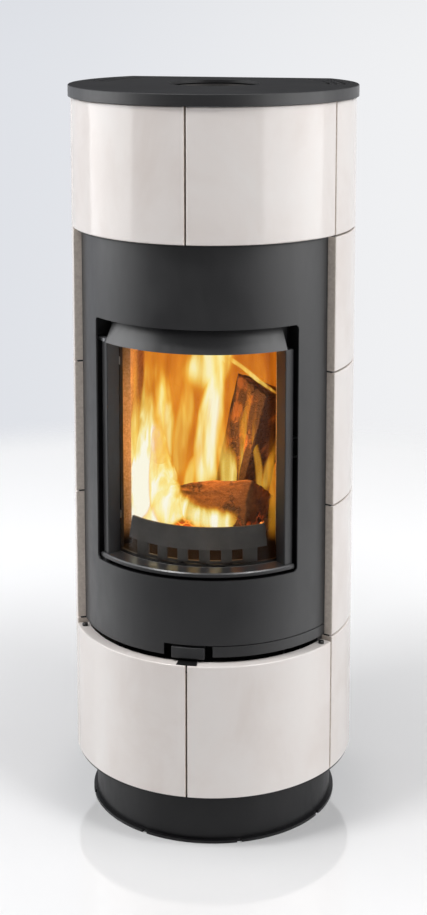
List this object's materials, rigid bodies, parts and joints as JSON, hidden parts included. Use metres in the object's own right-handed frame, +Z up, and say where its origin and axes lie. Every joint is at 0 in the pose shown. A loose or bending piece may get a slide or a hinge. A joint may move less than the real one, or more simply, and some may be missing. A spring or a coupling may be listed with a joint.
{
  "type": "tiled wood stove",
  "caption": "Tall round wood stove with a flat back, clad in glazed tiles, with a recessed curved glass door, a top flue outlet and a rear fresh-air inlet.",
  "frame": {"origin": "on the stove's round axis, at floor level", "axes": "+Z up, -Y out of the stove's front, +X to the right of someone facing it"},
  "size_m": [0.5198, 0.463, 1.326],
  "materials": {
    "tile_glaze": "glossy cream glaze",
    "panel_steel": "matt anthracite stove paint",
    "top_steel": "matt black stove paint",
    "plinth_steel": "matt black stove paint",
    "door_steel": "satin anthracite stove paint",
    "door_glass": "clear glass ceramic",
    "rope": "woven glass fibre",
    "frame_steel": "matt black, heat proof",
    "rear_steel": "matt anthracite sheet",
    "cast_iron": "cast, matt grey-black",
    "fire_lining": "pressed mineral board",
    "plain_steel": "plain steel",
    "lever_steel": "matt black",
    "black_trim": "black"
  },
  "bodies": {
    "stove": {"tile_bottom_front_left": "tile_glaze", "tile_bottom_front_right": "tile_glaze", "tile_top_front_left": "tile_glaze", "tile_top_front_right": "tile_glaze", "tile_side_left_1": "tile_glaze", "tile_side_left_2": "tile_glaze", "tile_side_left_3": "tile_glaze", "tile_side_left_4": "tile_glaze", "tile_side_left_5": "tile_glaze", "tile_side_right_1": "tile_glaze", "tile_side_right_2": "tile_glaze", "tile_side_right_3": "tile_glaze", "tile_side_right_4": "tile_glaze", "tile_side_right_5": "tile_glaze", "front_panel": "panel_steel", "lower_strip": "panel_steel", "top_plate": "top_steel", "base_plate": "plinth_steel", "plinth_drum": "plinth_steel", "deck_plate": "plinth_steel", "throat_frame": "frame_steel", "firebox_shell": "frame_steel", "shelf_ring": "frame_steel", "ash_box": "frame_steel", "air_box": "frame_steel", "firebox_legs": "frame_steel", "tile_rail_front_left": "frame_steel", "tile_rail_front_right": "frame_steel", "tile_rail_rear_left": "frame_steel", "tile_rail_rear_right": "frame_steel", "inner_flue_pipe": "frame_steel", "rear_panel": "rear_steel", "log_guard": "cast_iron", "flue_collar": "cast_iron", "liner_left": "fire_lining", "liner_right": "fire_lining", "liner_back": "fire_lining", "hearth_stone": "fire_lining", "lower_baffle": "fire_lining", "upper_baffle": "plain_steel", "air_inlet_spigot": "plain_steel", "catch_fork": "plain_steel", "hinge_brackets": "plain_steel", "hinge_pins": "plain_steel", "seam_clip": "black_trim", "corner_screws": "black_trim", "rear_panel_screws": "black_trim"},
    "door": {"door_frame": "door_steel", "door_hood": "door_steel", "door_sill": "door_steel", "door_glass": "door_glass", "glass_gasket": "rope", "glass_clips": "plain_steel", "door_rope_seal": "rope", "door_striker": "door_steel"},
    "air_control": {"air_shutter": "plain_steel", "air_lever": "lever_steel"},
    "grate": {"grate": "cast_iron"},
    "ash_pan": {"ash_pan": "plain_steel"}
  },
  "joints": [
    {"name": "door_swing", "type": "hinge", "parent": "stove", "child": "door", "pos_m": [-0.16202, -0.15756, 0.7], "axis": [0, 0, -1], "range_deg": [0, 80]},
    {"name": "air_lever_slide", "type": "hinge", "parent": "stove", "child": "air_control", "pos_m": [0, 0, 0.4], "axis": [0, 0, 1], "range_deg": [-3, 3]},
    {"name": "grate_lift", "type": "slide", "parent": "stove", "child": "grate", "axis": [0, 0, 1], "range_m": [0, 0.15]},
    {"name": "ash_pan_lift", "type": "slide", "parent": "stove", "child": "ash_pan", "axis": [0, 0, 1], "range_m": [0, 0.15]}
  ],
  "couplings": [
    {"joint": "ash_pan_lift", "follows": "grate_lift", "ratio": 1}
  ]
}
